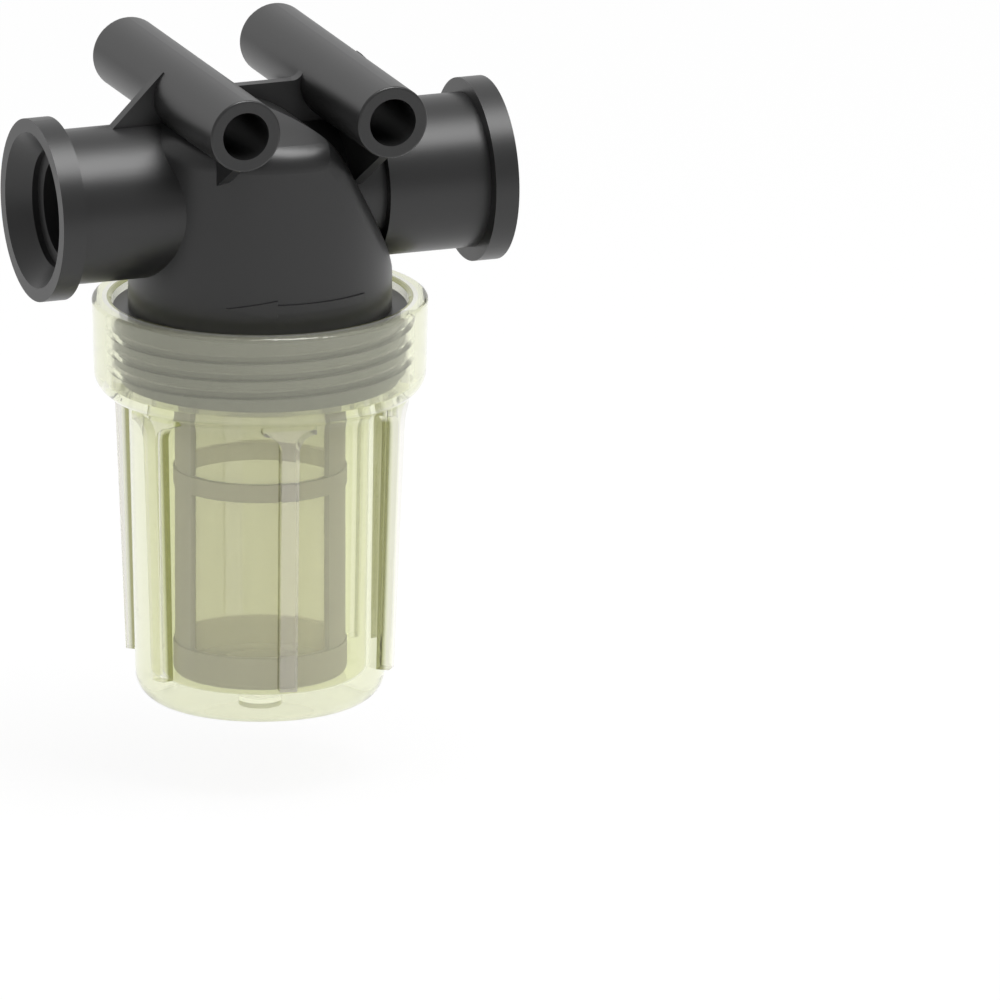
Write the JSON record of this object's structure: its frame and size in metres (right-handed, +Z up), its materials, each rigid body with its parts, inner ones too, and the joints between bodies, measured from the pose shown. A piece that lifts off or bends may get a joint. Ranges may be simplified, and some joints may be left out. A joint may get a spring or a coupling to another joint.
{
  "type": "sea water strainer",
  "caption": "Sea water strainer with a black moulded head, threaded side ports, two mounting tubes and a clear screw-on bowl over a mesh element.",
  "frame": {"origin": "centre of the bowl's flat bottom, on the bowl axis", "axes": "+Z up along the bowl axis, +X towards the inlet port and -X towards the outlet along the port axis, mounting tubes along Y"},
  "size_m": [0.1182, 0.0842, 0.1627],
  "materials": {
    "black_plastic": "satin moulded plastic",
    "clear_bowl": "clear, faintly yellow-green",
    "o_ring_rubber": "matt black rubber",
    "element_plastic": "natural translucent plastic",
    "filter_mesh": "fine woven mesh"
  },
  "bodies": {
    "head": {"head_body": "black_plastic", "bowl_o_ring": "o_ring_rubber"},
    "element": {"element_frame": "element_plastic", "element_mesh": "filter_mesh"},
    "bowl": {"bowl": "clear_bowl"}
  },
  "joints": [
    {"name": "bowl_travel", "type": "slide", "parent": "head", "child": "element", "axis": [0, 0, -1], "range_m": [0, 0.0178]},
    {"name": "bowl_turn", "type": "hinge", "parent": "element", "child": "bowl", "pos_m": [0, 0, 0.09], "axis": [0, 0, -1], "range_deg": [0, 1440]}
  ],
  "couplings": [
    {"joint": "bowl_turn", "follows": "bowl_travel", "rad_per_m": 1412}
  ]
}
